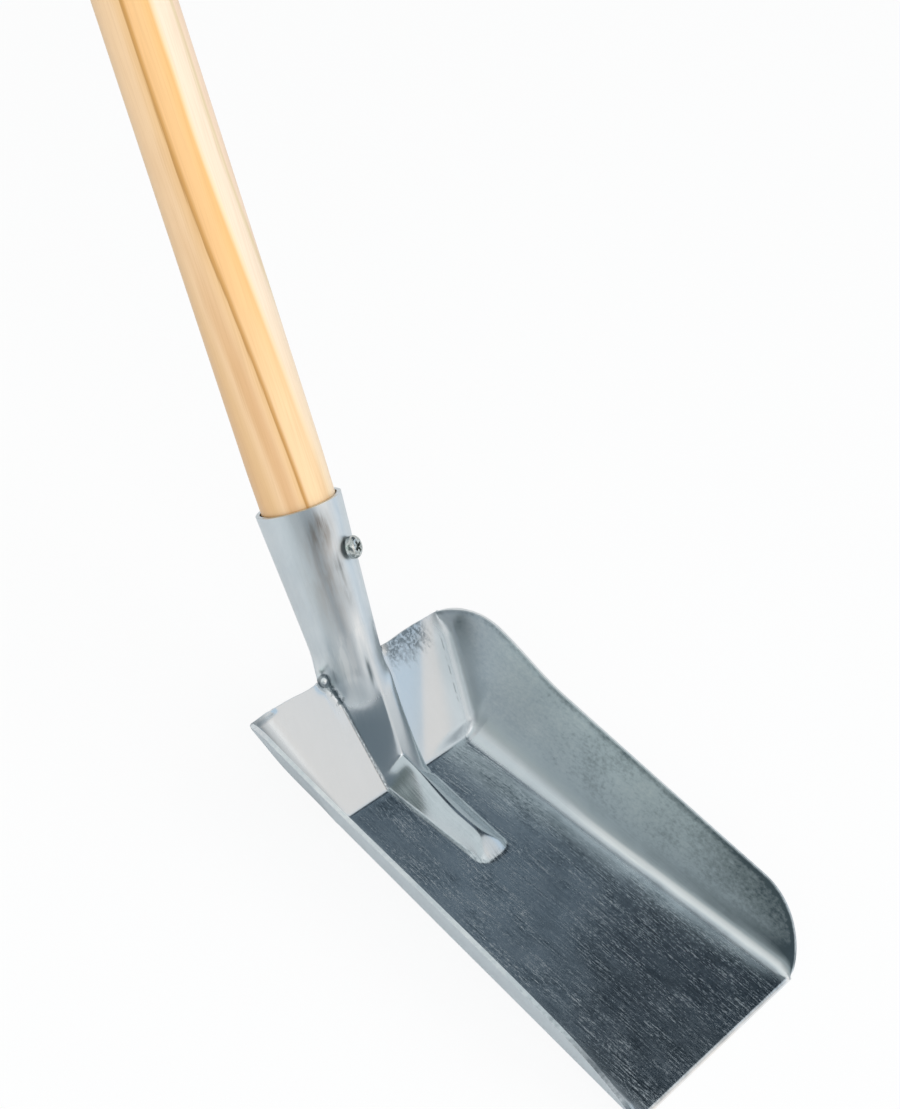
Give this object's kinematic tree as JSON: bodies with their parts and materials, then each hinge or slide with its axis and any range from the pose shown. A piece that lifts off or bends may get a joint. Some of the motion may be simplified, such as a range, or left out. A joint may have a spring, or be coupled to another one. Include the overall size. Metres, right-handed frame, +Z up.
{
  "type": "shovel",
  "caption": "Small square-mouthed shovel: pressed galvanised scoop with a stiffening rib and rolled socket, screwed to a round wooden handle.",
  "frame": {"origin": "middle of the underside of the blade's floor", "axes": "+Z up, square to the floor; -Y towards the front edge; the handle rises towards +Y and +Z; +X to the right of someone holding the handle"},
  "size_m": [0.1142, 0.5856, 0.4957],
  "materials": {
    "galvanised_sheet": "hot-dip galvanised, bright, lightly scratched",
    "pine": "sanded pine under a thin clear varnish",
    "zinc_screw": "bright zinc plate"
  },
  "bodies": {
    "root": {"blade": "galvanised_sheet", "handle": "pine", "socket_screw": "zinc_screw"}
  },
  "joints": []
}
